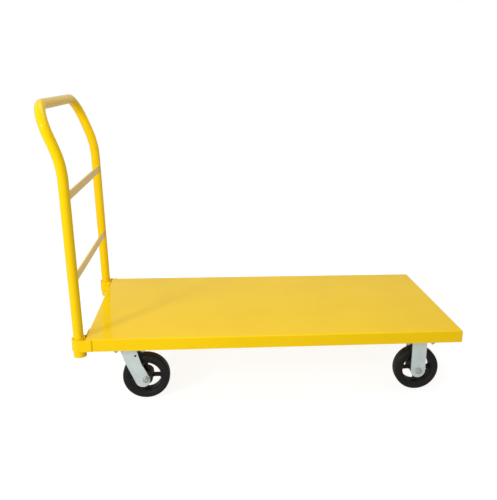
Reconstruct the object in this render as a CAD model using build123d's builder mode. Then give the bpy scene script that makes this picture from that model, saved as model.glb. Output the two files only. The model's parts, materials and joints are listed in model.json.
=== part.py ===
"""Steel platform cart with a lift-out push handle, two swivel and two rigid casters.

Millimetres. +X runs from the handle end (rear) to the front, +Y is the left side of
someone pushing the cart, +Z is up. The origin is on the floor, under the middle of the
cart's overall length and width.
"""

import os
from math import cos, radians, sin, sqrt

from build123d import *

# --- Deck ------------------------------------------------------------------------------
deck_length = 1219.2
deck_width = 609.6
flange_depth = 40.0
deck_sheet = 2.66
deck_edge_radius = 4.0
deck_corner_radius = 3.5

# --- Cross members welded under the deck -----------------------------------------------
channel_width = 132.0
channel_sheet = 3.4
channel_bend_radius = 6.0
stiffener_width = 60.0
stiffener_depth = 24.0
stiffener_sheet = 2.66
stiffener_spacing = 400.0
weld_gap = 1.6

# --- Handle ----------------------------------------------------------------------------
handle_tube_diameter = 31.75
handle_tube_wall = 2.1
handle_rake = 1.8
handle_back_bend = 19.5
back_bend_radius = 300.0
back_bend_start_height = 722.0
top_bar_height = 941.0
top_corner_radius = 92.0
crossbar_height = 25.4
crossbar_thickness = 4.8
crossbar_forward = 9.0
lower_crossbar_height = 426.0
upper_crossbar_height = 678.0
cope_clearance = 0.05

# --- Handle sockets --------------------------------------------------------------------
socket_clearance = 0.8
socket_wall = 3.3
socket_drop = 20.5
stop_thickness = 4.0
stop_recess = 3.0
drain_hole_diameter = 12.0
stop_clearance = 0.05
strap_thickness = 3.0
strap_edge_margin = 0.5
strap_side_leg = 20.0
strap_end_leg = 53.0
strap_bend_radius = 4.0
strap_clearance = 0.05

# --- Casters ---------------------------------------------------------------------------
caster_headroom = 38.1
caster_end_inset = 131.6
caster_side_inset = 64.8
caster_plate_length = 114.3
caster_plate_width = 101.6
caster_plate_thickness = 6.35
caster_plate_corner = 9.0
slot_wide_x, slot_wide_y = 92.1, 66.7
slot_narrow_x, slot_narrow_y = 76.2, 76.2
slot_width = 10.3
fork_sheet = 4.8
fork_gap = 57.0
fork_bend_radius = 7.0
swivel_lead = 48.5
swivel_leg_width = 50.0
swivel_leg_top_offset = -3.4
swivel_leg_kink_drop = 52.0
swivel_leg_kink_offset = 17.0
swivel_leg_end_radius = 23.5
swivel_leg_end_back = 10.0
swivel_leg_end_down = 5.0
swivel_leg_waist_x = 36.5
swivel_leg_hole_x = 17.5
swivel_leg_hole_drop = 33.0
swivel_leg_hole_diameter = 8.0
rigid_leg_width = 49.0

# --- Caster plate fasteners ------------------------------------------------------------
plate_bolt_diameter = 7.94
plate_bolt_head_width = 12.7
plate_bolt_head_height = 5.4
plate_bolt_end = 3.0
plate_washer_diameter = 18.0
plate_washer_thickness = 1.8
plate_nut_width = 12.7
plate_nut_height = 6.75
bolt_hole_clearance = 0.4
thread_clearance = 0.05

# --- Swivel bearing --------------------------------------------------------------------
main_ball_diameter = 7.94
main_ball_circle = 58.0
main_ball_count = 18
main_race_diameter = 76.0
main_race_gap = 2.0
lower_ball_diameter = 4.76
lower_ball_circle = 31.0
lower_ball_count = 14
lower_race_gap = 1.2
lower_race_diameter = 41.0
lower_race_thickness = 4.6
ball_clearance = 0.1
kingpin_diameter = 15.9
kingpin_head_diameter = 26.0
kingpin_head_height = 4.0
kingpin_clearance = 0.1
kingpin_nut_width = 23.8
kingpin_nut_height = 10.0
kingpin_end = 2.0

# --- Wheels ----------------------------------------------------------------------------
wheel_diameter = 152.4
wheel_width = 38.1
tread_flat = 16.0
tread_drop = 1.4
tread_shoulder_radius = 6.5
tyre_inner_diameter = 108.0
tyre_side_recess = 2.2
tyre_side_height = 5.0
bond_gap = 0.03
rim_thickness = 5.5
rim_width = 32.0
hub_diameter = 44.0
hub_side_clearance = 0.7
spoke_count = 4
spoke_width = 9.0
spoke_depth = 14.0
spoke_root_radius = 7.0

# --- Wheel axles and roller bearings ---------------------------------------------------
axle_diameter = 12.7
axle_hole_clearance = 0.15
axle_head_width = 19.0
axle_head_height = 8.0
axle_nut_width = 19.0
axle_nut_height = 9.5
axle_end = 2.5
sleeve_diameter = 19.05
sleeve_clearance = 0.1
roller_diameter = 5.5
roller_clearance = 0.05
roller_count = 10
bearing_end_inset = 4.55
cage_ring_width = 3.0
cage_clearance = 0.25
cage_bar_width = 1.6

# --- Derived places --------------------------------------------------------------------
caster_height = wheel_diameter + caster_headroom
caster_spacing_x = deck_length - 2 * caster_end_inset
caster_spacing_y = deck_width - 2 * caster_side_inset
flange_bottom = caster_height
deck_top = flange_bottom + flange_depth
deck_underside = deck_top - deck_sheet
wheel_radius = wheel_diameter / 2
fork_half_width = fork_gap / 2 + fork_sheet
hub_length = fork_gap - 2 * hub_side_clearance
handle_tube_radius = handle_tube_diameter / 2
socket_inner_radius = handle_tube_radius + socket_clearance
socket_outer_radius = socket_inner_radius + socket_wall
socket_y = deck_width / 2 - socket_outer_radius
rake = radians(handle_rake)
lean = radians(handle_rake + handle_back_bend)
bend_end_height = back_bend_start_height + back_bend_radius * (sin(lean) - sin(rake))
bend_setback = back_bend_radius * (cos(rake) - cos(lean))


def rake_setback(height):
    """How far the straight upright has leant back at a height above the flange's bottom."""
    return (height - flange_bottom) * sin(rake) / cos(rake)


socket_standoff = socket_outer_radius / cos(rake) + strap_clearance
bend_start_setback = socket_standoff + rake_setback(back_bend_start_height)
bend_end_setback = bend_start_setback + bend_setback
top_bar_setback = bend_end_setback + (top_bar_height - bend_end_height) * sin(lean) / cos(lean)
handle_overhang = top_bar_setback + handle_tube_radius

deck_mid_x = handle_overhang / 2
deck_rear_x = deck_mid_x - deck_length / 2
deck_front_x = deck_mid_x + deck_length / 2
swivel_x = deck_mid_x - caster_spacing_x / 2
rigid_x = deck_mid_x + caster_spacing_x / 2
socket_x = deck_rear_x - socket_standoff

LEFT, RIGHT = 1, -1
SIDES = {"left": LEFT, "right": RIGHT}


def finish(builder, name):
    """Label a finished piece and write it to its own file."""
    builder.part.label = name
    export_step(builder.part, f"parts/{name}.step")


def caster_y(side):
    return side * caster_spacing_y / 2


def upright_x(height):
    """Centre of the straight, raked upright at a height."""
    return socket_x - rake_setback(height)


def upright_plane(side, height):
    """Plane across the upright's axis, with its normal pointing up along the rake."""
    return Plane(
        origin=(upright_x(height), side * socket_y, height),
        x_dir=(cos(rake), 0, sin(rake)),
        z_dir=(-sin(rake), 0, cos(rake)),
    )


def section_plane(x, y, z=0):
    """Upright plane through a vertical axis: local x is outward, local y is height."""
    return Plane(origin=(x, y, z), x_dir=(1, 0, 0), z_dir=(0, -1, 0))


def floor_plane(x, y, height):
    return Plane(origin=(x, y, height), x_dir=(1, 0, 0), z_dir=(0, 0, 1))


# --- Deck pieces -----------------------------------------------------------------------
def make_deck_pan():
    with BuildPart() as deck_pan:
        with BuildSketch(floor_plane(deck_mid_x, 0, flange_bottom)):
            RectangleRounded(deck_length, deck_width, deck_corner_radius)
        extrude(amount=flange_depth)
        fillet(deck_pan.faces().sort_by(Axis.Z)[-1].edges(), deck_edge_radius)
        offset(amount=-deck_sheet, openings=deck_pan.faces().sort_by(Axis.Z)[0])
    finish(deck_pan, "deck_pan")


def bent_section(plane, width, leg, sheet, bend_radius):
    """U section of bent sheet: its web lies on local y = 0 and its legs reach to local y = leg."""
    inset = sheet / 2
    way = 1 if leg > 0 else -1
    side_x = width / 2 - inset
    with BuildSketch(plane) as section:
        with BuildLine():
            FilletPolyline((-side_x, leg), (-side_x, way * inset), (side_x, way * inset),
                           (side_x, leg), radius=bend_radius - inset)
        trace(line_width=sheet)
    return section.sketch


def make_channel(name, middle_x, width, depth, sheet, bolt_holes):
    """U-shaped cross member, web down, with its two legs standing against the deck."""
    web_bottom = deck_underside - depth
    length = deck_width - 2 * deck_sheet - 2 * weld_gap
    with BuildPart() as channel:
        extrude(bent_section(section_plane(middle_x, length / 2, web_bottom), width, depth,
                             sheet, channel_bend_radius), amount=length)
        if bolt_holes:
            for side in SIDES.values():
                with BuildSketch(floor_plane(middle_x, caster_y(side), web_bottom)):
                    with Locations(*bolt_places()):
                        Circle(plate_bolt_diameter / 2 + bolt_hole_clearance)
                extrude(amount=sheet, mode=Mode.SUBTRACT)
    finish(channel, name)


def bolt_places():
    """The four bolt centres of a caster plate, at the middle of its slots."""
    x = (slot_wide_x + slot_narrow_x) / 4
    y = (slot_wide_y + slot_narrow_y) / 4
    return [(x, y), (x, -y), (-x, y), (-x, -y)]


def make_stiffeners():
    for name, way in (("stiffener_rear", -1), ("stiffener_front", 1)):
        make_channel(name, deck_mid_x + way * stiffener_spacing / 2, stiffener_width,
                     stiffener_depth, stiffener_sheet, bolt_holes=False)


def make_caster_channels():
    depth = deck_underside - flange_bottom
    for name, middle_x in (("caster_channel_rear", swivel_x), ("caster_channel_front", rigid_x)):
        make_channel(name, middle_x, channel_width, depth, channel_sheet, bolt_holes=True)


# --- Handle sockets --------------------------------------------------------------------
socket_bottom = flange_bottom - socket_drop
socket_length = (deck_top - socket_bottom) / cos(rake)


def make_socket_pipe(name, side):
    with BuildPart() as pipe:
        with BuildSketch(upright_plane(side, socket_bottom)):
            Circle(socket_outer_radius)
            Circle(socket_inner_radius, mode=Mode.SUBTRACT)
        extrude(amount=socket_length)
    finish(pipe, f"socket_pipe_{name}")


def make_socket_stop(name, side):
    """Welded ring at the foot of the socket, on which the handle's leg stands."""
    with BuildPart() as stop:
        with BuildSketch(upright_plane(side, socket_bottom).offset(stop_recess)):
            Circle(socket_inner_radius - stop_clearance)
            Circle(drain_hole_diameter / 2, mode=Mode.SUBTRACT)
        extrude(amount=stop_thickness)
    finish(stop, f"socket_stop_{name}")


def make_socket_strap(name, side):
    """Flat bar from the deck's side, round the socket pipe and along the deck's end."""
    half = strap_thickness / 2
    wrap_radius = socket_outer_radius + half
    side_y = side * (deck_width / 2 + half)
    inner_y = side * (socket_y - wrap_radius)
    end_x = deck_rear_x - half
    bend = strap_bend_radius + half
    start = -90 if side == RIGHT else 90
    height = flange_depth - 2 * strap_edge_margin
    with BuildPart() as strap:
        with BuildSketch(Plane.XY.offset(flange_bottom + strap_edge_margin)):
            with BuildLine():
                Line((deck_rear_x + strap_side_leg, side_y), (socket_x, side_y))
                CenterArc((socket_x, side * socket_y), wrap_radius, start, side * 180)
                Line((socket_x, inner_y), (end_x - bend, inner_y))
                CenterArc((end_x - bend, inner_y - side * bend), bend, start, -side * 90)
                Line((end_x, inner_y - side * bend), (end_x, inner_y - side * strap_end_leg))
            trace(line_width=strap_thickness)
        extrude(amount=height)
        with Locations(upright_plane(side, flange_bottom)):
            Cylinder(socket_outer_radius + strap_clearance, 4 * flange_depth, mode=Mode.SUBTRACT)
    finish(strap, f"socket_strap_{name}")


# --- Handle ----------------------------------------------------------------------------
handle_foot = socket_bottom + (stop_recess + stop_thickness) / cos(rake)


def handle_point(setback, side_y, height):
    return (deck_rear_x - setback, side_y, height)


def upright_points(side):
    """Foot, start and end of the back bend, and start and end of the top corner."""
    foot = Vector(upright_x(handle_foot), side * socket_y, handle_foot)
    bend_start = Vector(*handle_point(bend_start_setback, side * socket_y, back_bend_start_height))
    bend_end = Vector(*handle_point(bend_end_setback, side * socket_y, bend_end_height))
    corner = Vector(*handle_point(top_bar_setback, side * socket_y, top_bar_height))
    uphill = (corner - bend_end).normalized()
    corner_start = corner - uphill * top_corner_radius
    corner_end = corner - Vector(0, side * top_corner_radius, 0)
    return foot, bend_start, bend_end, corner_start, corner_end, corner


def make_handle_tube():
    right = upright_points(RIGHT)
    left = upright_points(LEFT)
    straight_up = Vector(-sin(rake), 0, cos(rake))
    uphill = Vector(-sin(lean), 0, cos(lean))
    across = Vector(0, 1, 0)
    with BuildPart() as handle_tube:
        with BuildLine() as path:
            Line(right[0], right[1])
            TangentArc(right[1], right[2], tangent=straight_up)
            Line(right[2], right[3])
            TangentArc(right[3], right[4], tangent=uphill)
            Line(right[4], left[4])
            TangentArc(left[4], left[3], tangent=across)
            Line(left[3], left[2])
            TangentArc(left[2], left[1], tangent=-uphill)
            Line(left[1], left[0])
        with BuildSketch(upright_plane(RIGHT, handle_foot)):
            Circle(handle_tube_radius)
            Circle(handle_tube_radius - handle_tube_wall, mode=Mode.SUBTRACT)
        sweep(path=path.wire())
    finish(handle_tube, "handle_tube")


def make_crossbar(name, height):
    """Flat bar on edge between the uprights, its ends cut to sit round their front faces."""
    middle = upright_plane(RIGHT, height)
    middle = Plane(origin=(middle.origin.X, 0, height), x_dir=middle.x_dir, z_dir=middle.z_dir)
    with BuildPart() as crossbar:
        with BuildSketch(middle.offset(-crossbar_height / 2)):
            with Locations((crossbar_forward, 0)):
                Rectangle(crossbar_thickness, 2 * socket_y)
        extrude(amount=crossbar_height)
        for side in SIDES.values():
            with Locations(upright_plane(side, height)):
                Cylinder(handle_tube_radius + cope_clearance, 2 * crossbar_height,
                         mode=Mode.SUBTRACT)
    finish(crossbar, name)


# --- Caster plates and their fasteners -------------------------------------------------
def plate_slots():
    """Slots that suit both standard bolt patterns, as (centre, length, angle)."""
    reach_x = (slot_wide_x - slot_narrow_x) / 2
    reach_y = (slot_narrow_y - slot_wide_y) / 2
    between_ends = sqrt(reach_x ** 2 + reach_y ** 2)
    tilt = Vector(1, 0).get_angle(Vector(reach_x, reach_y))
    slots = []
    for x, y in bolt_places():
        turn = -tilt if x * y > 0 else tilt
        slots.append(((x, y), between_ends, turn))
    return slots


def plate_sketch():
    RectangleRounded(caster_plate_length, caster_plate_width, caster_plate_corner)
    for place, between_ends, turn in plate_slots():
        with Locations(place):
            SlotCenterToCenter(between_ends, slot_width, rotation=turn, mode=Mode.SUBTRACT)


plate_bottom = caster_height - caster_plate_thickness
washer_bottom = plate_bottom - plate_washer_thickness
nut_bottom = washer_bottom - plate_nut_height


def all_bolt_planes(height):
    planes = []
    for x in (swivel_x, rigid_x):
        for side in SIDES.values():
            for dx, dy in bolt_places():
                planes.append(floor_plane(x + dx, caster_y(side) + dy, height))
    return planes


def make_plate_bolts():
    head_bottom = flange_bottom + channel_sheet
    with BuildPart() as plate_bolts:
        with BuildSketch(*all_bolt_planes(nut_bottom - plate_bolt_end)):
            Circle(plate_bolt_diameter / 2)
        extrude(amount=head_bottom + plate_bolt_head_height - nut_bottom + plate_bolt_end)
        with BuildSketch(*all_bolt_planes(head_bottom)):
            RegularPolygon(plate_bolt_head_width / 2, 6, major_radius=False)
        extrude(amount=plate_bolt_head_height)
    finish(plate_bolts, "plate_bolts")


def make_plate_washers():
    with BuildPart() as plate_washers:
        with BuildSketch(*all_bolt_planes(washer_bottom)):
            Circle(plate_washer_diameter / 2)
            Circle(plate_bolt_diameter / 2 + bolt_hole_clearance, mode=Mode.SUBTRACT)
        extrude(amount=plate_washer_thickness)
    finish(plate_washers, "plate_washers")


def make_plate_nuts():
    with BuildPart() as plate_nuts:
        with BuildSketch(*all_bolt_planes(nut_bottom)):
            RegularPolygon(plate_nut_width / 2, 6, major_radius=False)
            Circle(plate_bolt_diameter / 2 + thread_clearance, mode=Mode.SUBTRACT)
        extrude(amount=plate_nut_height)
    finish(plate_nuts, "plate_nuts")


# --- Swivel bearing --------------------------------------------------------------------
# Heights from the plate down: race ring, main balls, fork web, lower balls, lower race, nut.
main_ball_radius = main_ball_diameter / 2
lower_ball_radius = lower_ball_diameter / 2
race_ring_bottom = plate_bottom - main_ball_radius - ball_clearance
main_ball_z = race_ring_bottom - main_race_gap / 2
fork_web_top = race_ring_bottom - main_race_gap
fork_web_bottom = fork_web_top - fork_sheet
lower_ball_z = fork_web_bottom - lower_race_gap / 2
lower_race_top = fork_web_bottom - lower_race_gap
lower_race_bottom = lower_race_top - lower_race_thickness
kingpin_bottom = lower_race_bottom - kingpin_nut_height - kingpin_end


def cut_ball_groove(x, y, circle, height, ball_radius):
    """Round groove of a ball race, cut about a vertical axis."""
    with BuildSketch(section_plane(x, y)) as groove:
        with Locations((circle / 2, height)):
            Circle(ball_radius + ball_clearance)
    revolve(groove.sketch, axis=Axis((x, y, 0), (0, 0, 1)), mode=Mode.SUBTRACT)


def make_swivel_plate(name, side):
    x, y = swivel_x, caster_y(side)
    with BuildPart() as swivel_plate:
        with BuildSketch(floor_plane(x, y, plate_bottom)):
            plate_sketch()
        extrude(amount=caster_plate_thickness)
        with BuildSketch(floor_plane(x, y, race_ring_bottom)):
            Circle(main_race_diameter / 2)
        extrude(amount=plate_bottom - race_ring_bottom)
        cut_ball_groove(x, y, main_ball_circle, main_ball_z, main_ball_radius)
        with BuildSketch(floor_plane(x, y, caster_height)):
            Circle(kingpin_diameter / 2 + thread_clearance)
        extrude(amount=-2 * (caster_height - race_ring_bottom), mode=Mode.SUBTRACT)
        with BuildSketch(floor_plane(x, y, caster_height)):
            Circle(kingpin_head_diameter / 2 + thread_clearance)
        extrude(amount=-kingpin_head_height, mode=Mode.SUBTRACT)
    finish(swivel_plate, f"swivel_plate_{name}")


def make_kingpin(name, side):
    with BuildPart() as kingpin:
        with BuildSketch(floor_plane(swivel_x, caster_y(side), kingpin_bottom)):
            Circle(kingpin_diameter / 2)
        extrude(amount=caster_height - kingpin_bottom)
        with BuildSketch(floor_plane(swivel_x, caster_y(side), caster_height)):
            Circle(kingpin_head_diameter / 2)
        extrude(amount=-kingpin_head_height)
        chamfer(kingpin.edges().group_by(Axis.Z)[0], kingpin_end / 2)
    finish(kingpin, f"kingpin_{name}")


def make_lower_race(name, side):
    x, y = swivel_x, caster_y(side)
    with BuildPart() as lower_race:
        with BuildSketch(floor_plane(x, y, lower_race_bottom)):
            Circle(lower_race_diameter / 2)
            Circle(kingpin_diameter / 2 + thread_clearance, mode=Mode.SUBTRACT)
        extrude(amount=lower_race_thickness)
        cut_ball_groove(x, y, lower_ball_circle, lower_ball_z, lower_ball_radius)
    finish(lower_race, f"lower_race_{name}")


def make_kingpin_nut(name, side):
    with BuildPart() as kingpin_nut:
        with BuildSketch(floor_plane(swivel_x, caster_y(side), lower_race_bottom)):
            RegularPolygon(kingpin_nut_width / 2, 6, major_radius=False)
            Circle(kingpin_diameter / 2 + thread_clearance, mode=Mode.SUBTRACT)
        extrude(amount=-kingpin_nut_height)
    finish(kingpin_nut, f"kingpin_nut_{name}")


def make_balls(node, side, circle, count, height, radius):
    with BuildPart() as balls:
        with Locations(floor_plane(swivel_x, caster_y(side), height)):
            with PolarLocations(circle / 2, count):
                Sphere(radius)
    finish(balls, node)


# --- Forks -----------------------------------------------------------------------------
def leg_outline(points, end_x, end_z, end_radius):
    """Edges that the lower part of a fork's leg wraps: some points and its round end."""
    with BuildLine() as outline:
        Polyline(*points)
        CenterArc((end_x, end_z), end_radius, 0, 360)
    return outline.edges()


def fork_section(x, y, web_top):
    """End view of a fork bent from one sheet: a U with its web on top."""
    end_plane = Plane(origin=(x, y, web_top), x_dir=(0, 1, 0), z_dir=(1, 0, 0))
    return bent_section(end_plane, 2 * fork_half_width, -web_top, fork_sheet, fork_bend_radius)


def cut_axle_hole(x, y):
    with BuildSketch(section_plane(x, y + fork_half_width, wheel_radius)) as hole:
        Circle(axle_diameter / 2 + axle_hole_clearance)
    extrude(hole.sketch, amount=2 * fork_half_width, mode=Mode.SUBTRACT)


def make_swivel_fork(name, side):
    """Pressed fork: a round web with both ball grooves, and two legs raked back to the axle."""
    x, y = swivel_x, caster_y(side)
    rear_x = x + swivel_leg_top_offset - swivel_leg_width / 2
    front_x = rear_x + swivel_leg_width
    waist_z = fork_web_top - swivel_leg_kink_drop
    waist_rear = (rear_x + swivel_leg_kink_offset, waist_z)
    waist_front = (x + swivel_leg_waist_x, waist_z)
    with BuildPart() as fork:
        extrude(fork_section(rear_x, y, fork_web_top), amount=swivel_leg_width + 2 * swivel_lead)
        with BuildSketch(section_plane(0, y + fork_half_width)):
            with BuildLine():
                Polyline((rear_x, fork_web_top), (rear_x, fork_web_bottom), waist_rear, waist_front,
                         (front_x, fork_web_bottom), (front_x, fork_web_top), close=True)
            make_face()
            make_hull(leg_outline([waist_rear, waist_front],
                                  x + swivel_lead - swivel_leg_end_back,
                                  wheel_radius - swivel_leg_end_down, swivel_leg_end_radius))
        extrude(amount=2 * fork_half_width, mode=Mode.INTERSECT)
        with BuildSketch(section_plane(0, y + fork_half_width)):
            with Locations((x + swivel_leg_hole_x, caster_height - swivel_leg_hole_drop)):
                Circle(swivel_leg_hole_diameter / 2)
        extrude(amount=2 * fork_half_width, mode=Mode.SUBTRACT)
        with BuildSketch(floor_plane(x, y, fork_web_bottom)):
            Circle(main_race_diameter / 2)
        extrude(amount=fork_sheet)
        with BuildSketch(floor_plane(x, y, fork_web_bottom)):
            Circle(kingpin_diameter / 2 + kingpin_clearance)
        extrude(amount=2 * fork_sheet, both=True, mode=Mode.SUBTRACT)
        cut_ball_groove(x, y, main_ball_circle, main_ball_z, main_ball_radius)
        cut_ball_groove(x, y, lower_ball_circle, lower_ball_z, lower_ball_radius)
        cut_axle_hole(x + swivel_lead, y)
    finish(fork, f"swivel_fork_{name}")


def make_rigid_fork(name, side):
    """Rigid caster: its bolted plate with a U-shaped fork welded under it."""
    x, y = rigid_x, caster_y(side)
    rear_x = x - rigid_leg_width / 2
    front_x = x + rigid_leg_width / 2
    with BuildPart() as fork:
        extrude(fork_section(rear_x, y, plate_bottom), amount=rigid_leg_width)
        with BuildSketch(section_plane(0, y + fork_half_width)):
            make_hull(leg_outline([(rear_x, plate_bottom), (front_x, plate_bottom)],
                                  x, wheel_radius, rigid_leg_width / 2))
        extrude(amount=2 * fork_half_width, mode=Mode.INTERSECT)
        with BuildSketch(floor_plane(x, y, plate_bottom)):
            plate_sketch()
        extrude(amount=caster_plate_thickness)
        cut_axle_hole(x, y)
    finish(fork, f"rigid_fork_{name}")


# --- Axles and roller bearings ---------------------------------------------------------
def outboard_plane(x, side, out):
    """Plane square to the axle, a distance from the wheel's middle to the cart's outer side."""
    middle = Plane(origin=(x, caster_y(side), wheel_radius), x_dir=(1, 0, 0), z_dir=(0, side, 0))
    return middle.offset(out)


def make_axle(node, x, side):
    shank = 2 * fork_half_width + axle_nut_height + axle_end
    with BuildPart() as axle:
        with BuildSketch(outboard_plane(x, side, -fork_half_width)):
            Circle(axle_diameter / 2)
        extrude(amount=shank)
        chamfer(axle.edges().filter_by(GeomType.CIRCLE).sort_by(Axis.Y)[-1 if side == LEFT else 0],
                axle_end / 2)
        with BuildSketch(outboard_plane(x, side, -fork_half_width)):
            RegularPolygon(axle_head_width / 2, 6, major_radius=False)
        extrude(amount=-axle_head_height)
    finish(axle, node)


def make_axle_nut(node, x, side):
    with BuildPart() as axle_nut:
        with BuildSketch(outboard_plane(x, side, fork_half_width)):
            RegularPolygon(axle_nut_width / 2, 6, major_radius=False)
            Circle(axle_diameter / 2 + thread_clearance, mode=Mode.SUBTRACT)
        extrude(amount=axle_nut_height)
    finish(axle_nut, node)


def make_sleeve(node, x, side):
    """Hardened tube that the fork's legs clamp, and that the rollers run on."""
    with BuildPart() as sleeve:
        with BuildSketch(outboard_plane(x, side, -fork_gap / 2)):
            Circle(sleeve_diameter / 2)
            Circle(axle_diameter / 2 + sleeve_clearance, mode=Mode.SUBTRACT)
        extrude(amount=fork_gap)
    finish(sleeve, node)


roller_circle_radius = sleeve_diameter / 2 + roller_clearance + roller_diameter / 2
hub_bore_radius = roller_circle_radius + roller_diameter / 2 + roller_clearance


def make_roller_bearing(node, x, side):
    """Rollers, and the cage that spaces them, in the hub's bore."""
    cage_inner = sleeve_diameter / 2 + cage_clearance
    cage_outer = hub_bore_radius - cage_clearance
    bar_length = hub_length - 2 * (bearing_end_inset + cage_ring_width)
    roller_length = bar_length - 2 * cage_clearance
    half_step = 180 / roller_count
    with BuildPart() as bearing:
        with BuildSketch(outboard_plane(x, side, -roller_length / 2)):
            with PolarLocations(roller_circle_radius, roller_count):
                Circle(roller_diameter / 2)
        extrude(amount=roller_length)
        with BuildSketch(outboard_plane(x, side, -bar_length / 2)):
            with PolarLocations(roller_circle_radius, roller_count, start_angle=half_step):
                Rectangle(cage_outer - cage_inner, cage_bar_width)
        extrude(amount=bar_length)
        for way in (-1, 1):
            with BuildSketch(outboard_plane(x, side, way * bar_length / 2)):
                Circle(cage_outer)
                Circle(cage_inner, mode=Mode.SUBTRACT)
            extrude(amount=way * cage_ring_width)
    finish(bearing, node)


# --- Wheels ----------------------------------------------------------------------------
def make_tyre(node, x, side):
    """Rubber tread moulded on the wheel, slightly crowned, with rounded shoulders."""
    half = wheel_width / 2
    inner = tyre_inner_diameter / 2
    axle_line = Axis((x, caster_y(side), wheel_radius), (0, 1, 0))
    with BuildPart() as tyre:
        with BuildSketch(Plane(origin=(x, caster_y(side), wheel_radius), x_dir=(0, 1, 0),
                               z_dir=(1, 0, 0))) as profile:
            with BuildLine():
                Polyline((half - tyre_side_recess, inner), (half, inner + tyre_side_height),
                         (half, wheel_radius - tread_drop), (tread_flat / 2, wheel_radius),
                         (-tread_flat / 2, wheel_radius), (-half, wheel_radius - tread_drop),
                         (-half, inner + tyre_side_height), (tyre_side_recess - half, inner),
                         close=True)
            make_face()
            shoulders = [v for v in profile.vertices() if abs(v.Y - wheel_radius + tread_drop) < 0.01]
            fillet(shoulders, tread_shoulder_radius)
        revolve(axis=axle_line)
    finish(tyre, node)


def make_wheel_core(node, x, side):
    """Cast-iron wheel: rim, spokes and a hub bored for the roller bearing."""
    rim_outer = tyre_inner_diameter / 2 - bond_gap
    rim_inner = rim_outer - rim_thickness
    with BuildPart() as core:
        with BuildSketch(outboard_plane(x, side, -spoke_depth / 2)) as spider:
            Circle(rim_outer)
            Circle(rim_inner, mode=Mode.SUBTRACT)
            with PolarLocations(0, spoke_count):
                Rectangle(rim_inner + rim_thickness / 2, spoke_width, align=(Align.MIN, Align.CENTER))
            Circle(hub_diameter / 2)
            roots = [v for v in spider.vertices() if Vector(v.X, v.Y).length < rim_outer - 1]
            fillet(roots, spoke_root_radius)
        extrude(amount=spoke_depth)
        with BuildSketch(outboard_plane(x, side, -rim_width / 2)):
            Circle(rim_outer)
            Circle(rim_inner, mode=Mode.SUBTRACT)
        extrude(amount=rim_width)
        with BuildSketch(outboard_plane(x, side, -hub_length / 2)):
            Circle(hub_diameter / 2)
        extrude(amount=hub_length)
        with BuildSketch(outboard_plane(x, side, -hub_length / 2)):
            Circle(hub_bore_radius)
        extrude(amount=hub_length, mode=Mode.SUBTRACT)
    finish(core, node)


# --- Build every piece -----------------------------------------------------------------
os.makedirs("parts", exist_ok=True)

make_deck_pan()
make_caster_channels()
make_stiffeners()
make_plate_bolts()
make_plate_washers()
make_plate_nuts()
make_handle_tube()
make_crossbar("crossbar_lower", lower_crossbar_height)
make_crossbar("crossbar_upper", upper_crossbar_height)

for side_name, way in SIDES.items():
    make_socket_pipe(side_name, way)
    make_socket_stop(side_name, way)
    make_socket_strap(side_name, way)

    make_swivel_plate(side_name, way)
    make_kingpin(side_name, way)
    make_lower_race(side_name, way)
    make_kingpin_nut(side_name, way)
    make_balls(f"main_balls_{side_name}", way, main_ball_circle, main_ball_count,
               main_ball_z, main_ball_radius)
    make_balls(f"lower_balls_{side_name}", way, lower_ball_circle, lower_ball_count,
               lower_ball_z, lower_ball_radius)
    make_swivel_fork(side_name, way)
    make_rigid_fork(side_name, way)

    for end_name, axle_x in (("rear", swivel_x + swivel_lead), ("front", rigid_x)):
        place = f"{end_name}_{side_name}"
        make_axle(f"axle_{place}", axle_x, way)
        make_axle_nut(f"axle_nut_{place}", axle_x, way)
        make_sleeve(f"axle_sleeve_{place}", axle_x, way)
        make_roller_bearing(f"roller_bearing_{place}", axle_x, way)
        make_wheel_core(f"wheel_core_{place}", axle_x, way)
        make_tyre(f"tyre_{place}", axle_x, way)
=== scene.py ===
"""Looks for the steel platform cart: materials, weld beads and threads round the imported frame."""

import json
import math
import random

import bmesh
import bpy
from mathutils import Matrix, Vector


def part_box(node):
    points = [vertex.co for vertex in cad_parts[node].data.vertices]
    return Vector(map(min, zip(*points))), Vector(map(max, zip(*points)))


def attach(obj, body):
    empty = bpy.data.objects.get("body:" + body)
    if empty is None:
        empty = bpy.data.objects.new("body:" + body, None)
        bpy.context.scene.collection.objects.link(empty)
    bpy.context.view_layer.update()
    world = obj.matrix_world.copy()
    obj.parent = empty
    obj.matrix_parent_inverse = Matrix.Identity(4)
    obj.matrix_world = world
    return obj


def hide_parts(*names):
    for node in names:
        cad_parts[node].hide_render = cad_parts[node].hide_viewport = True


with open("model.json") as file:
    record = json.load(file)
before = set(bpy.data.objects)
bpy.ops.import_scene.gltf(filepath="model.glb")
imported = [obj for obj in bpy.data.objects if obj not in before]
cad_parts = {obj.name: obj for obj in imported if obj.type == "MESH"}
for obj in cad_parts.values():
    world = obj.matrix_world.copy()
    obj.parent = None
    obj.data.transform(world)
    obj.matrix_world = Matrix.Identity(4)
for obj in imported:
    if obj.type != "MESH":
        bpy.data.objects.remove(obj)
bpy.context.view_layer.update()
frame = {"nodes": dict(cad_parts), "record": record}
nodes = frame["nodes"]
MM = 0.001
LEFT, RIGHT = 1, -1
SIDES = {"left": LEFT, "right": RIGHT}
ENDS = ("rear", "front")
rng = random.Random(11)

# A colour Mix node's sockets by number, since several of them share a name.
MIX_FACTOR, MIX_FIRST, MIX_SECOND, MIX_RESULT = 0, 6, 7, 2


# --- Materials -------------------------------------------------------------------------
def grey(value):
    """A grey as a colour."""
    return (value, value, value, 1)


def colour_output(node):
    """The socket that carries a node's colour."""
    if node.bl_idname == "ShaderNodeMix":
        return node.outputs[MIX_RESULT]
    return node.outputs["Color"]


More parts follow.
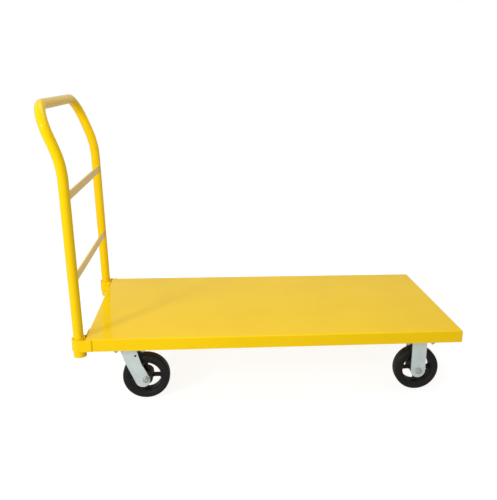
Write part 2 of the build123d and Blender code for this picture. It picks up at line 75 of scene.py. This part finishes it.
class Shader:
    """A material's node tree, with short ways to add and join its nodes."""

    def __init__(self, name):
        self.material = bpy.data.materials.new(name)
        self.material.use_nodes = True
        self.tree = self.material.node_tree
        self.tree.nodes.clear()
        self.surface = self.add("ShaderNodeBsdfPrincipled")
        output = self.add("ShaderNodeOutputMaterial")
        self.join(self.surface, "BSDF", output, "Surface")
        self.place = self.add("ShaderNodeTexCoord")

    def add(self, kind, **settings):
        node = self.tree.nodes.new(kind)
        for key, value in settings.items():
            setattr(node, key, value)
        return node

    def join(self, source, out, target, into):
        self.tree.links.new(source.outputs[out], target.inputs[into])

    def fix(self, **values):
        """Sets the surface's own sockets, by name with _ for a space."""
        for key, value in values.items():
            self.surface.inputs[key.replace("_", " ")].default_value = value

    def drive(self, socket, node):
        """Lets a pattern drive one of the surface's sockets."""
        self.tree.links.new(colour_output(node), self.surface.inputs[socket])

    def noise(self, scale, detail=4.0, roughness=0.55, stretch=None):
        """Noise over the object's own space, in features per metre."""
        node = self.add("ShaderNodeTexNoise")
        node.inputs["Scale"].default_value = scale
        node.inputs["Detail"].default_value = detail
        node.inputs["Roughness"].default_value = roughness
        if stretch:
            mapping = self.add("ShaderNodeMapping")
            mapping.inputs["Scale"].default_value = stretch
            self.join(self.place, "Object", mapping, "Vector")
            self.join(mapping, "Vector", node, "Vector")
        else:
            self.join(self.place, "Object", node, "Vector")
        return node

    def cells(self, scale):
        """Rounded cells over the object's own space, in cells per metre."""
        node = self.add("ShaderNodeTexVoronoi")
        node.inputs["Scale"].default_value = scale
        self.join(self.place, "Object", node, "Vector")
        return node

    def ramp(self, noise, low, high, first, second):
        """Turns noise between low and high into a blend of two colours or two grey levels."""
        node = self.add("ShaderNodeValToRGB")
        points = node.color_ramp.elements
        for point, position, value in zip(points, (low, high), (first, second)):
            point.position = position
            point.color = value if isinstance(value, tuple) else grey(value)
        self.join(noise, "Fac", node, "Fac")
        return node

    def mix(self, kind, factor, first, second):
        """Mixes two colours. The factor and both colours are each a node or a plain value."""
        node = self.add("ShaderNodeMix", data_type="RGBA", blend_type=kind)
        for number, value in ((MIX_FACTOR, factor), (MIX_FIRST, first), (MIX_SECOND, second)):
            if isinstance(value, bpy.types.Node):
                self.tree.links.new(colour_output(value), node.inputs[number])
            else:
                node.inputs[number].default_value = value
        return node

    def bump(self, *layers):
        """Stacks bumps on the surface's normal, and returns the last bump node.

        Each layer is (pattern node, its output, height in metres, strength).
        """
        previous = None
        for node, out, height, strength in layers:
            bump = self.add("ShaderNodeBump")
            bump.inputs["Strength"].default_value = strength
            bump.inputs["Distance"].default_value = height
            self.join(node, out, bump, "Height")
            if previous:
                self.join(previous, "Normal", bump, "Normal")
            previous = bump
        self.join(previous, "Normal", self.surface, "Normal")
        return previous


def yellow_paint():
    """Glossy yellow enamel: slight drift in shade, fine dust, orange peel and faint scuffs."""
    s = Shader("yellow_paint")
    drift = s.ramp(s.noise(5.0), 0.3, 0.7, (0.90, 0.58, 0.0, 1), (0.94, 0.615, 0.0, 1))
    dust = s.ramp(s.noise(700.0, 3.0), 0.68, 0.84, 0.0, 0.3)
    s.drive("Base Color", s.mix("MIX", dust, drift, (0.84, 0.53, 0.002, 1)))
    gloss = s.ramp(s.noise(14.0, 5.0), 0.35, 0.75, 0.32, 0.38)
    streaks = s.noise(30.0, 6.0, 0.7, stretch=(0.35, 6.0, 1.0))
    scuffs = s.ramp(streaks, 0.66, 0.78, 0.0, 0.02)
    s.drive("Roughness", s.mix("ADD", 1.0, gloss, scuffs))
    s.fix(Specular_IOR_Level=0.04, Coat_Weight=1.0, Coat_Roughness=0.07, Coat_IOR=1.24)
    peel = (s.noise(420.0, 2.0), "Fac", 0.03 * MM, 0.3)
    waves = (s.noise(16.0, 1.0), "Fac", 0.3 * MM, 0.08)
    s.join(s.bump(peel, waves), "Normal", s.surface, "Coat Normal")
    return s.material


def zinc(name, dark, light, scale, rough):
    """Electroplated zinc: pale bluish metal with cloudy bands and fine rolled grain."""
    s = Shader(name)
    clouds = s.ramp(s.noise(scale, 5.0), 0.3, 0.7, dark, light)
    warm, cool = (1.0, 1.0, 0.93, 1), (0.93, 0.99, 1.0, 1)
    tint = s.ramp(s.noise(scale * 2.3, 3.0), 0.35, 0.75, warm, cool)
    s.drive("Base Color", s.mix("MULTIPLY", 1.0, clouds, tint))
    s.drive("Roughness", s.ramp(s.noise(scale * 4, 5.0), 0.3, 0.75, rough - 0.07, rough + 0.09))
    s.fix(Metallic=0.6)
    grain = (s.noise(scale * 22, 4.0, 0.6, stretch=(1.0, 1.0, 0.12)), "Fac", 0.06 * MM, 0.5)
    waves = (s.noise(scale * 1.5, 2.0), "Fac", 0.4 * MM, 0.3)
    s.bump(grain, waves)
    return s.material


def bearing_steel():
    """Ground steel of balls, rollers and sleeves, with a film of grease."""
    s = Shader("bearing_steel")
    grease, steel = (0.30, 0.29, 0.27, 1), (0.52, 0.52, 0.51, 1)
    s.drive("Base Color", s.ramp(s.noise(120.0), 0.4, 0.65, grease, steel))
    s.drive("Roughness", s.ramp(s.noise(300.0, 3.0), 0.3, 0.7, 0.16, 0.34))
    s.fix(Metallic=1.0)
    s.bump((s.noise(1500.0, 2.0), "Fac", 0.02 * MM, 0.4))
    return s.material


def rubber():
    """Black moulded rubber: dusty greys over near-black, with a fine matt grain."""
    s = Shader("rubber")
    base = s.ramp(s.noise(9.0, 5.0), 0.3, 0.75, (0.005, 0.0045, 0.004, 1), (0.012, 0.0115, 0.011, 1))
    dust = s.ramp(s.noise(260.0, 5.0, 0.7), 0.55, 0.8, 0.0, 0.5)
    s.drive("Base Color", s.mix("MIX", dust, base, (0.028, 0.026, 0.024, 1)))
    s.drive("Roughness", s.ramp(s.noise(40.0), 0.3, 0.7, 0.42, 0.58))
    s.fix(Specular_IOR_Level=0.3)
    s.bump((s.noise(1400.0, 3.0), "Fac", 0.08 * MM, 0.5), (s.noise(70.0, 2.0), "Fac", 0.3 * MM, 0.3))
    return s.material


def cast_iron():
    """Black painted casting: sand texture under the paint, thinner in scattered spots."""
    s = Shader("cast_iron")
    base = s.ramp(s.noise(60.0, 5.0), 0.3, 0.7, (0.005, 0.005, 0.005, 1), (0.014, 0.0135, 0.013, 1))
    thin = s.ramp(s.noise(340.0, 6.0, 0.75), 0.66, 0.8, 0.0, 0.6)
    s.drive("Base Color", s.mix("MIX", thin, base, (0.07, 0.065, 0.06, 1)))
    s.drive("Roughness", s.ramp(s.noise(90.0), 0.3, 0.7, 0.42, 0.62))
    s.fix(Specular_IOR_Level=0.25)
    s.bump((s.cells(520.0), "Distance", 0.6 * MM, 0.35), (s.noise(900.0), "Fac", 0.2 * MM, 0.6))
    return s.material


SLOTS = {
    "yellow_paint": yellow_paint(),
    "zinc_plate": zinc("zinc_plate", (0.70, 0.76, 0.755, 1), (0.80, 0.87, 0.88, 1), 30.0, 0.42),
    "fastener_zinc": zinc("fastener_zinc", (0.42, 0.44, 0.43, 1), (0.62, 0.65, 0.64, 1), 90.0, 0.30),
    "bearing_steel": bearing_steel(),
    "rubber": rubber(),
    "cast_iron": cast_iron(),
}

for part in frame["record"]["subparts"]:
    mesh = nodes[part["node"]].data
    mesh.materials.clear()
    mesh.materials.append(SLOTS[part["material_slot"]])


# --- Sizes that the pieces below share with the frame ------------------------------------
RAKE = math.radians(1.8)
TUBE_RADIUS = 15.875 * MM
SOCKET_OUTER_RADIUS = 19.975 * MM
DECK_SHEET = 2.66 * MM
CROSSBAR_FORWARD = 9.0 * MM
CROSSBAR_THICKNESS = 4.8 * MM
CROSSBAR_HEIGHT = 25.4 * MM
PLATE_THICKNESS = 6.35 * MM
PLATE_BOLT_SPACING = (84.15 * MM, 71.45 * MM)
AXLE_RADIUS = 6.35 * MM
FORK_GAP = 57.0 * MM
FORK_SHEET = 4.8 * MM

deck_low, deck_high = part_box("deck_pan")


def middle(node):
    """Middle of a node's box."""
    low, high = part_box(node)
    return (low + high) / 2


def upright_axis(side_name, height):
    """Point on an upright's straight axis at a height: the socket pipe leans with it."""
    centre = middle(f"socket_pipe_{side_name}")
    return Vector((centre.x - (height - centre.z) * math.tan(RAKE), centre.y, height))


# --- Mesh helpers ----------------------------------------------------------------------
def add_piece(name, mesh_data, body, slot_name, smooth):
    """Turns a bmesh into a piece that rides a body, smooth below an angle in degrees."""
    bmesh.ops.recalc_face_normals(mesh_data, faces=mesh_data.faces)
    mesh = bpy.data.meshes.new(name)
    mesh_data.to_mesh(mesh)
    mesh_data.free()
    mesh.materials.append(SLOTS[slot_name])
    for polygon in mesh.polygons:
        polygon.use_smooth = True
    mesh.set_sharp_from_angle(angle=math.radians(smooth))
    piece = bpy.data.objects.new(name, mesh)
    bpy.context.scene.collection.objects.link(piece)
    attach(piece, body)
    return piece


def frame_along(direction):
    """Two unit vectors square to a direction."""
    guide = Vector((0, 0, 1)) if abs(direction.z) < 0.9 else Vector((1, 0, 0))
    side = direction.cross(guide).normalized()
    return side, direction.cross(side).normalized()


def join_rings(mesh_data, rings, closed=False):
    """Skins a list of rings of vertices; an open run gets an end face at each end."""
    count = len(rings[0])
    pairs = list(zip(rings, rings[1:]))
    if closed:
        pairs.append((rings[-1], rings[0]))
    for first, second in pairs:
        for i in range(count):
            j = (i + 1) % count
            mesh_data.faces.new((first[i], first[j], second[j], second[i]))
    if not closed:
        mesh_data.faces.new(rings[0])
        mesh_data.faces.new(reversed(rings[-1]))


# --- Weld beads ------------------------------------------------------------------------
BEAD_STEP = 0.45 * MM
BEAD_SIDES = 10
BEAD_SMOOTH = 60.0
BEAD_BLUNTNESS = 0.03           # Keeps the first and last rings from closing to a point
RIPPLE_LENGTH = 2.1 * MM
RIPPLE_START, RIPPLE_GAIN = 0.86, 0.16      # Shares of the bead's radius
RIPPLE_CURVE = 1.6
WANDER_LENGTH = 9 * MM
WANDER_GAIN = 0.07


def resample(points, step):
    """Points at even steps along a broken line."""
    spots = []
    left_over = 0.0
    for start, end in zip(points, points[1:]):
        run = (end - start).length
        travel = left_over
        while travel < run:
            spots.append(start.lerp(end, travel / run))
            travel += step
        left_over = travel - run
    spots.append(points[-1])
    return spots


def bead(mesh_data, points, radius):
    """A run of weld: overlapping ripples that wander a little, with rounded ends."""
    spots = resample([Vector(p) for p in points], BEAD_STEP)
    length = BEAD_STEP * (len(spots) - 1)
    phase = rng.random()
    rings = []
    for i, spot in enumerate(spots):
        ahead = spots[min(i + 2, len(spots) - 1)]
        behind = spots[max(i - 2, 0)]
        side, up = frame_along((ahead - behind).normalized())
        travel = i * BEAD_STEP
        ripple = ((travel / RIPPLE_LENGTH + phase) % 1.0) ** RIPPLE_CURVE
        wander = 1 + WANDER_GAIN * math.sin(travel / WANDER_LENGTH + 6 * phase)
        end = min(1.0, min(travel, length - travel) / radius)
        rounding = math.sqrt(max(1 - (1 - end) ** 2, BEAD_BLUNTNESS))
        width = radius * (RIPPLE_START + RIPPLE_GAIN * ripple) * wander * rounding
        ring = []
        for k in range(BEAD_SIDES):
            turn = 2 * math.pi * k / BEAD_SIDES
            offset = side * width * math.cos(turn) + up * width * math.sin(turn)
            ring.append(mesh_data.verts.new(spot + offset))
        rings.append(ring)
    join_rings(mesh_data, rings)


def handle_welds():
    """Beads round both faces and edges of each flat crossbar, where it meets the uprights."""
    radius = 1.5 * MM
    beads = bmesh.new()
    back_x = CROSSBAR_FORWARD - CROSSBAR_THICKNESS / 2
    front_x = CROSSBAR_FORWARD + CROSSBAR_THICKNESS / 2
    uphill = Vector((-math.sin(RAKE), 0, math.cos(RAKE)))
    forward = Vector((math.cos(RAKE), 0, math.sin(RAKE)))
    for bar in ("crossbar_lower", "crossbar_upper"):
        height = middle(bar).z
        for side_name, side in SIDES.items():
            axis_point = upright_axis(side_name, height)
            path = []
            for local_x, way in ((back_x, 1), (front_x, -1)):
                reach = math.sqrt(TUBE_RADIUS ** 2 - local_x ** 2)
                for up in (-way, way):
                    path.append(axis_point + forward * local_x + Vector((0, -side * reach, 0))
                                + uphill * up * CROSSBAR_HEIGHT / 2)
            path.append(path[0])
            bead(beads, path, radius)
    add_piece("crossbar_welds", beads, "handle", "yellow_paint", BEAD_SMOOTH)


def socket_welds():
    """Beads that hold the straps to the deck and to the socket pipes."""
    end_radius, edge_radius, low_radius, pipe_radius = 2.2 * MM, 1.3 * MM, 1.5 * MM, 1.9 * MM
    corner_gap = 6 * MM
    low_run = 40 * MM
    arc_steps = 24
    beads = bmesh.new()
    for side_name, side in SIDES.items():
        low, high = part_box(f"socket_strap_{side_name}")
        outer_y = side * abs(deck_high.y)
        end_x = high.x
        bottom, top = low.z, high.z
        bead(beads, [(end_x, outer_y, bottom + MM), (end_x, outer_y, top - MM)], end_radius)
        for z in (bottom, top):
            bead(beads, [(end_x - MM, outer_y, z), (deck_low.x + corner_gap, outer_y, z)], edge_radius)
        inner_y = low.y if side == LEFT else high.y
        rear_x = deck_low.x
        bead(beads, [(rear_x, inner_y, bottom + MM), (rear_x, inner_y, top - MM)], end_radius)
        bead(beads, [(rear_x, inner_y + side * MM, bottom),
                     (rear_x, inner_y + side * low_run, bottom)], low_radius)
        centre = upright_axis(side_name, bottom)
        arc = []
        for step in range(arc_steps + 1):
            turn = math.radians(90 + 180 * step / arc_steps)
            arc.append(centre + Vector((math.cos(turn), math.sin(turn), 0)) * SOCKET_OUTER_RADIUS)
        bead(beads, arc, pipe_radius)
    add_piece("socket_welds", beads, "deck", "yellow_paint", BEAD_SMOOTH)


def underside_welds():
    """Beads round the ends of the cross members, and stitches along their legs."""
    end_radius, stitch_radius = 1.6 * MM, 2.0 * MM
    sunk = 0.8 * MM
    top_gap = 2 * MM
    bend = 6 * MM
    bend_turns = (0.4, 0.8, 1.2)
    stitch = 45 * MM
    stitch_places = (-200 * MM, 0.0, 200 * MM)
    beads = bmesh.new()
    for name in ("caster_channel_rear", "caster_channel_front", "stiffener_rear", "stiffener_front"):
        low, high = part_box(name)
        for side in SIDES.values():
            y = side * (deck_high.y - DECK_SHEET - sunk)
            path = [(low.x, y, high.z - top_gap), (low.x, y, low.z + bend)]
            for edge_x, way, turns in ((low.x, 1, bend_turns), (high.x, -1, bend_turns[::-1])):
                for turn in turns:
                    path.append((edge_x + way * bend * (1 - math.cos(turn)), y,
                                 low.z + bend * (1 - math.sin(turn))))
            path += [(high.x, y, low.z + bend), (high.x, y, high.z - top_gap)]
            bead(beads, path, end_radius)
        for x in (low.x, high.x):
            for y in stitch_places:
                bead(beads, [(x, y - stitch / 2, high.z), (x, y + stitch / 2, high.z)], stitch_radius)
    add_piece("cross_member_welds", beads, "deck", "yellow_paint", BEAD_SMOOTH)


def rigid_fork_welds():
    """Beads in the groove between a rigid caster's plate and the bends of its fork."""
    radius = 2.0 * MM
    groove_depth, groove_inset = 1.4 * MM, 1.6 * MM
    groove_half = 23 * MM
    cross_x, cross_half = 24.5 * MM, 24 * MM
    for side_name in SIDES:
        beads = bmesh.new()
        low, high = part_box(f"rigid_fork_{side_name}")
        centre = (low + high) / 2
        plate_bottom = high.z - PLATE_THICKNESS
        groove_z = plate_bottom - groove_depth
        for way in (-1, 1):
            y = centre.y + way * (FORK_GAP / 2 + FORK_SHEET - groove_inset)
            bead(beads, [(centre.x - groove_half, y, groove_z),
                         (centre.x + groove_half, y, groove_z)], radius)
            x = centre.x + way * cross_x
            bead(beads, [(x, centre.y - cross_half, plate_bottom),
                         (x, centre.y + cross_half, plate_bottom)], radius)
        add_piece(f"rigid_fork_welds_{side_name}", beads, "deck", "zinc_plate", BEAD_SMOOTH)


# --- Bolts and nuts --------------------------------------------------------------------
HEX_SEGMENTS = 72
HEX_FACE_SHARE = 0.955          # Flat face inside the chamfer, as a share of the width across flats
HEX_LIP = 0.45 * MM             # Countersink at each end of a nut's bore
HEX_TIP = 0.02 * MM             # Radius at which a solid head's faces end, round its axis
CHAMFER_SLOPE = math.tan(math.radians(30))
THREAD_SEGMENTS = 36
THREAD_DEPTH = 0.55             # Share of the pitch
THREAD_STEPS = 6                # Rings in one pitch
THREAD_TIP = 1.2 * MM           # Length of the chamfer at a bolt's end
TIP_SLOPE = 0.8
FASTENER_SMOOTH = 25.0


def hex_reach(turn, across):
    """How far a hexagon reaches from its middle in one direction."""
    corner = math.pi / 3
    offset = (turn % corner) - corner / 2
    return across / 2 / math.cos(offset)


def hex_body(mesh_data, spot, across, bore, start, end):
    """A hexagon chamfered at both ends, from start to end along the local axis.

    It has a hole of radius bore, or is solid if bore is 0.
    """
    face_radius = across / 2 * HEX_FACE_SHARE
    rings = []
    for segment in range(HEX_SEGMENTS):
        turn = 2 * math.pi * segment / HEX_SEGMENTS
        reach = hex_reach(turn, across)
        drop = (reach - face_radius) * CHAMFER_SLOPE
        profile = [(face_radius, start), (reach, start + drop), (reach, end - drop), (face_radius, end)]
        if bore:
            mouth = bore + HEX_LIP
            profile = [(mouth, start)] + profile + [(mouth, end), (bore, end - HEX_LIP),
                                                    (bore, start + HEX_LIP)]
        else:
            profile = [(HEX_TIP, start)] + profile + [(HEX_TIP, end)]
        rings.append([mesh_data.verts.new(spot(r, turn, z)) for r, z in profile])
    join_rings(mesh_data, rings, closed=True)


def threaded_rod(mesh_data, spot, radius, start, end, pitch, thread_from):
    """A shank whose last stretch is cut with a helical thread, chamfered at the tip."""
    heights = [start, thread_from]
    step = pitch / THREAD_STEPS
    while heights[-1] + step < end:
        heights.append(heights[-1] + step)
    heights.append(end)
    rings = []
    for z in heights:
        ring = []
        for k in range(THREAD_SEGMENTS):
            r = radius
            if z > thread_from:
                saw = (z / pitch + k / THREAD_SEGMENTS) % 1.0
                fade = min(1.0, (z - thread_from) / pitch)
                r -= pitch * THREAD_DEPTH * fade * (1 - abs(2 * saw - 1))
                r = min(r, radius - max(0.0, z - (end - THREAD_TIP)) * TIP_SLOPE)
            ring.append(mesh_data.verts.new(spot(r, 2 * math.pi * k / THREAD_SEGMENTS, z)))
        rings.append(ring)
    join_rings(mesh_data, rings)


def spot_on(origin, axis, phase):
    """Turns (radius, turn, height) about an axis into a point."""
    side, up = frame_along(axis)

    def spot(radius, turn, height):
        turn += phase
        return origin + axis * height + (side * math.cos(turn) + up * math.sin(turn)) * radius
    return spot


def plate_bolt_places():
    """X and Y of each caster plate bolt, four round the middle of each plate."""
    spacing_x, spacing_y = PLATE_BOLT_SPACING
    places = []
    for plate in ("swivel_plate", "rigid_fork"):
        for side_name in SIDES:
            centre = middle(f"{plate}_{side_name}")
            for way_x in (-1, 1):
                for way_y in (-1, 1):
                    places.append((centre.x + way_x * spacing_x / 2, centre.y + way_y * spacing_y / 2))
    return places


def plate_fasteners():
    """Chamfered nuts under the caster plates, and threaded bolts with their heads above."""
    across, head_height = 12.7 * MM, 5.4 * MM
    bore, shank_radius = 4.0 * MM, 3.95 * MM
    pitch, thread_length = 1.41 * MM, 16 * MM
    nut_low, nut_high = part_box("plate_nuts")
    bolt_low, bolt_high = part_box("plate_bolts")
    head_bottom = bolt_high.z - head_height
    length = head_bottom - bolt_low.z
    nuts = bmesh.new()
    bolts = bmesh.new()
    down = Vector((0, 0, -1))
    for x, y in plate_bolt_places():
        turn = rng.uniform(0, math.pi / 3)
        spot = spot_on(Vector((x, y, nut_high.z)), down, turn)
        hex_body(nuts, spot, across, bore, 0.0, nut_high.z - nut_low.z)
        spot = spot_on(Vector((x, y, head_bottom)), down, turn)
        hex_body(bolts, spot, across, 0.0, -head_height, 0.0)
        threaded_rod(bolts, spot, shank_radius, -MM, length, pitch, length - thread_length)
    nut_piece = add_piece("plate_nuts_turned", nuts, "deck", "fastener_zinc", FASTENER_SMOOTH)
    bolt_piece = add_piece("plate_bolts_threaded", bolts, "deck", "fastener_zinc", FASTENER_SMOOTH)
    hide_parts("plate_nuts")
    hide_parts("plate_bolts")


def axle_fasteners():
    """A threaded axle bolt and a chamfered nut for each wheel, with the nut on the outside."""
    across, head = 19.0 * MM, 8.0 * MM
    bore = AXLE_RADIUS + 0.02 * MM
    pitch, thread_length = 1.95 * MM, 14 * MM
    turn = math.pi / 6
    for end_name in ENDS:
        for side_name, side in SIDES.items():
            place = f"{end_name}_{side_name}"
            body = f"swivel_fork_{side_name}" if end_name == "rear" else "deck"
            low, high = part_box(f"axle_{place}")
            nut_low, nut_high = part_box(f"axle_nut_{place}")
            out = Vector((0, side, 0))
            x, z = (low.x + high.x) / 2, (low.z + high.z) / 2
            fork_y = nut_low.y if side == LEFT else nut_high.y
            nuts = bmesh.new()
            hex_body(nuts, spot_on(Vector((x, fork_y, z)), out, turn), across, bore,
                     0.0, nut_high.y - nut_low.y)
            piece = add_piece(f"axle_nut_turned_{place}", nuts, body, "fastener_zinc", FASTENER_SMOOTH)
            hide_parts(f"axle_nut_{place}")
            start_y = low.y if side == LEFT else high.y
            length = high.y - low.y
            bolts = bmesh.new()
            spot = spot_on(Vector((x, start_y, z)), out, turn)
            hex_body(bolts, spot, across, 0.0, 0.0, head)
            threaded_rod(bolts, spot, AXLE_RADIUS, head - MM, length, pitch, length - thread_length)
            piece = add_piece(f"axle_bolt_{place}", bolts, body, "fastener_zinc", FASTENER_SMOOTH)
            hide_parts(f"axle_{place}")


# --- Moulded rings on the tyres --------------------------------------------------------
def tyre_ribs():
    """Thin raised rings on both side walls, left by the mould."""
    segments, sides = 180, 8
    ribs_on_wall = ((60.5 * MM, 0.55 * MM), (66.0 * MM, 0.4 * MM))
    for end_name in ENDS:
        for side_name in SIDES:
            place = f"{end_name}_{side_name}"
            low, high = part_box(f"tyre_{place}")
            centre = (low + high) / 2
            ribs = bmesh.new()
            for y in (low.y, high.y):
                for ring_radius, rib in ribs_on_wall:
                    rings = []
                    for i in range(segments):
                        turn = 2 * math.pi * i / segments
                        ring = []
                        for k in range(sides):
                            lift = 2 * math.pi * k / sides
                            r = ring_radius + rib * math.cos(lift)
                            ring.append(ribs.verts.new((centre.x + r * math.cos(turn),
                                                        y + rib * math.sin(lift),
                                                        centre.z + r * math.sin(turn))))
                        rings.append(ring)
                    join_rings(ribs, rings, closed=True)
            add_piece(f"tyre_ribs_{place}", ribs, f"wheel_{place}", "rubber", BEAD_SMOOTH)


# --- Floor, light and camera -----------------------------------------------------------
def seen_directly(tree, otherwise, to_camera):
    """A value that is to_camera where the camera looks straight at a thing.

    In reflections and as light it is otherwise, a number or a socket.
    """
    path = tree.nodes.new("ShaderNodeLightPath")
    choice = tree.nodes.new("ShaderNodeMapRange")
    if isinstance(otherwise, bpy.types.NodeSocket):
        tree.links.new(otherwise, choice.inputs["To Min"])
    else:
        choice.inputs["To Min"].default_value = otherwise
    choice.inputs["To Max"].default_value = to_camera
    tree.links.new(path.outputs["Is Camera Ray"], choice.inputs["Value"])
    return choice.outputs["Result"]


def make_floor():
    """Plain pale floor that glows, so that it runs into the white background."""
    half = 20.0
    floor = bmesh.new()
    corners = [floor.verts.new((x, y, 0.0)) for x, y in
               ((-half, -half), (half, -half), (half, half), (-half, half))]
    floor.faces.new(corners)
    mesh = bpy.data.meshes.new("floor")
    floor.to_mesh(mesh)
    floor.free()
    material = bpy.data.materials.new("floor")
    material.use_nodes = True
    tree = material.node_tree
    surface = tree.nodes["Principled BSDF"]
    surface.inputs["Base Color"].default_value = grey(0.22)
    surface.inputs["Roughness"].default_value = 0.9
    surface.inputs["Specular IOR Level"].default_value = 0.1
    surface.inputs["Emission Color"].default_value = grey(1)
    tree.links.new(seen_directly(tree, 0.34, 0.88), surface.inputs["Emission Strength"])
    mesh.materials.append(material)
    obj = bpy.data.objects.new("floor", mesh)
    bpy.context.scene.collection.objects.link(obj)


def make_world():
    """White surroundings that light the cart more from its handle end than from its front."""
    rear_strength, front_strength = 0.76, 0.22
    world = bpy.data.worlds.new("studio")
    world.use_nodes = True
    tree = world.node_tree
    background = tree.nodes["Background"]
    background.inputs["Color"].default_value = grey(1)
    place = tree.nodes.new("ShaderNodeTexCoord")
    axes = tree.nodes.new("ShaderNodeSeparateXYZ")
    tree.links.new(place.outputs["Generated"], axes.inputs["Vector"])
    along = tree.nodes.new("ShaderNodeMapRange")
    along.inputs["From Min"].default_value = -1.0
    along.inputs["From Max"].default_value = 1.0
    along.inputs["To Min"].default_value = rear_strength
    along.inputs["To Max"].default_value = front_strength
    tree.links.new(axes.outputs["X"], along.inputs["Value"])
    strength = seen_directly(tree, along.outputs["Result"], 1.0)
    tree.links.new(strength, background.inputs["Strength"])
    bpy.context.scene.world = world


def make_light(name, place, target, size, power, mirrored=True):
    """A rectangular lamp, in watts. One that isn't mirrored doesn't show in reflections."""
    light = bpy.data.lights.new(name, "AREA")
    light.shape = "RECTANGLE"
    light.size, light.size_y = size
    light.energy = power
    obj = bpy.data.objects.new(name, light)
    obj.location = place
    obj.rotation_euler = (Vector(target) - Vector(place)).to_track_quat("-Z", "Y").to_euler()
    obj.visible_camera = False
    obj.visible_glossy = mirrored
    bpy.context.scene.collection.objects.link(obj)


def make_camera():
    """Looks down on the right side of the cart, from a little behind its middle."""
    place = (-0.1696, -2.1673, 1.0403)
    azimuth, elevation, roll = 0.1032, 0.2575, 0.0169
    forward = Vector((math.sin(azimuth) * math.cos(elevation),
                      math.cos(azimuth) * math.cos(elevation), -math.sin(elevation)))
    right = Vector((math.cos(azimuth), -math.sin(azimuth), 0))
    up = right.cross(forward)
    tilted_right = right * math.cos(roll) + up * math.sin(roll)
    tilted_up = up * math.cos(roll) - right * math.sin(roll)
    camera = bpy.data.cameras.new("camera")
    camera.sensor_fit = "AUTO"
    camera.sensor_width = 36.0
    camera.lens = 45.48
    camera.shift_x = -0.0429
    camera.shift_y = -0.0205
    camera.clip_end = 100.0
    obj = bpy.data.objects.new("camera", camera)
    turn = Matrix((tilted_right, tilted_up, -forward)).transposed()
    obj.matrix_world = Matrix.Translation(place) @ turn.to_4x4()
    bpy.context.scene.collection.objects.link(obj)
    bpy.context.scene.camera = obj


handle_welds()
socket_welds()
underside_welds()
rigid_fork_welds()
plate_fasteners()
axle_fasteners()
tyre_ribs()
make_floor()
make_world()
make_light("key", (-2.2, -2.2, 2.1), (0, 0, 0.3), (0.9, 0.7), 10)
make_light("glint", (-2.3, -2.3, 1.7), (0, 0, 0.5), (0.36, 0.5), 27)
make_light("top", (0.1, 0.2, 2.6), (0, 0, 0.2), (2.4, 1.2), 26)
make_light("fill", (-1.5, -2.9, 0.9), (0, 0, 0.3), (0.45, 1.3), 28, mirrored=False)
make_camera()
bpy.context.scene.view_settings.view_transform = "Standard"
